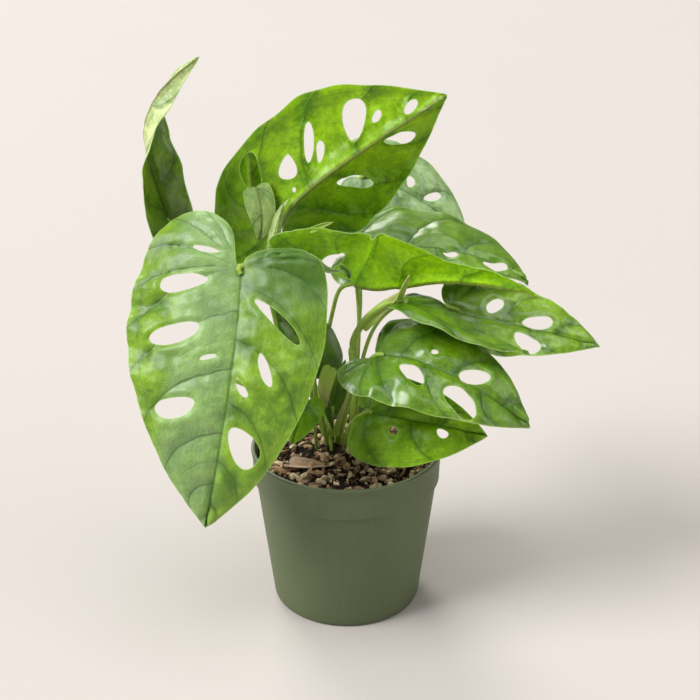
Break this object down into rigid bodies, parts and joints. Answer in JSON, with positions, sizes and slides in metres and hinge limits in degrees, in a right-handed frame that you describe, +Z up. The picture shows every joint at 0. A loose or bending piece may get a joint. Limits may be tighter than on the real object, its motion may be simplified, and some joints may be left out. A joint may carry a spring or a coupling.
{
  "type": "potted swiss cheese vine",
  "caption": "Climbing houseplant with heart-shaped leaves holed between the veins, standing in a round green nursery pot filled with bark soil.",
  "frame": {"origin": "centre of the pot's flat underside", "axes": "+Z up along the pot's axis, -Y towards the front of the plant as pictured, +X to the right"},
  "size_m": [0.2533, 0.1867, 0.3102],
  "materials": {
    "pot_plastic": "matte moulded plastic, grey-green",
    "soil_mix": "damp bark, peat and pale perlite",
    "vine_green": "smooth pale olive stem",
    "leaf_green": "glossy mid to dark green leaf",
    "leaf_light": "yellow-green leaf, lit through",
    "dry_leaf": "dry tan leaf"
  },
  "bodies": {
    "root": {"pot": "pot_plastic", "soil": "soil_mix", "vine_stem": "vine_green", "leaf_front_left": "leaf_green", "leaf_top": "leaf_green", "leaf_arched": "leaf_light", "leaf_behind_arched": "leaf_green", "leaf_right": "leaf_green", "leaf_edge_on": "leaf_green", "leaf_front_right": "leaf_green", "leaf_low_right": "leaf_green", "leaf_curled": "leaf_light", "leaf_back_right": "leaf_green", "leaf_behind_left": "leaf_green", "leaf_low_left": "leaf_light", "leaf_behind_top": "leaf_light", "leaf_inner": "leaf_green", "dried_leaf_scrap": "dry_leaf"}
  },
  "joints": []
}
